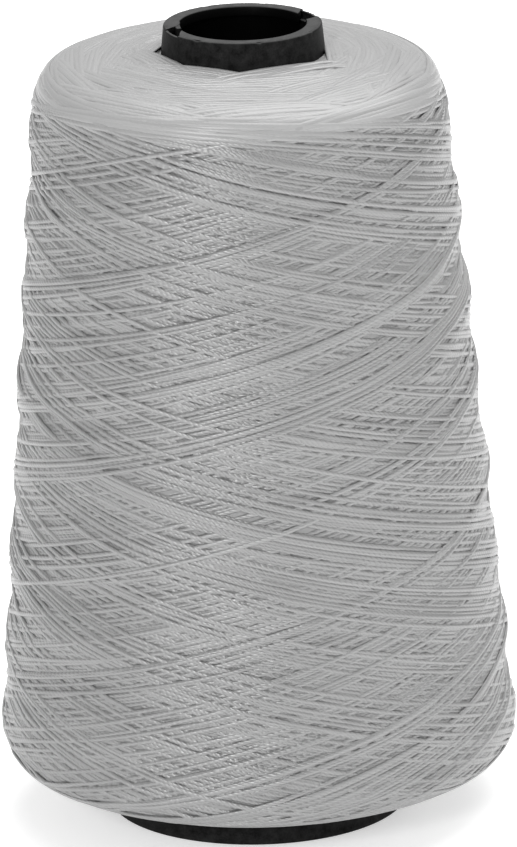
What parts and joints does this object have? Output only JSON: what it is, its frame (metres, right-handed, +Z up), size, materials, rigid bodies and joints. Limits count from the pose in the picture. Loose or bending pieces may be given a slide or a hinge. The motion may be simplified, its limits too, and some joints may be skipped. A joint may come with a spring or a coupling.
{
  "type": "waxed thread spool",
  "caption": "Hollow tapered cone core with a cross-wound package of white waxed thread, for leather sewing.",
  "frame": {"origin": "centre of the base rim's resting plane", "axes": "+Z up along the cone's axis, from the wide base to the nose; +X and +Y radial; the two notches in the nose flange are centred about 27 and 204 degrees anticlockwise from +X at the lip, seen from above"},
  "size_m": [0.1092, 0.1092, 0.17],
  "materials": {
    "core_plastic": "matte",
    "waxed_thread": "satin"
  },
  "bodies": {
    "root": {"cone_core": "core_plastic", "thread_package": "waxed_thread"}
  },
  "joints": []
}
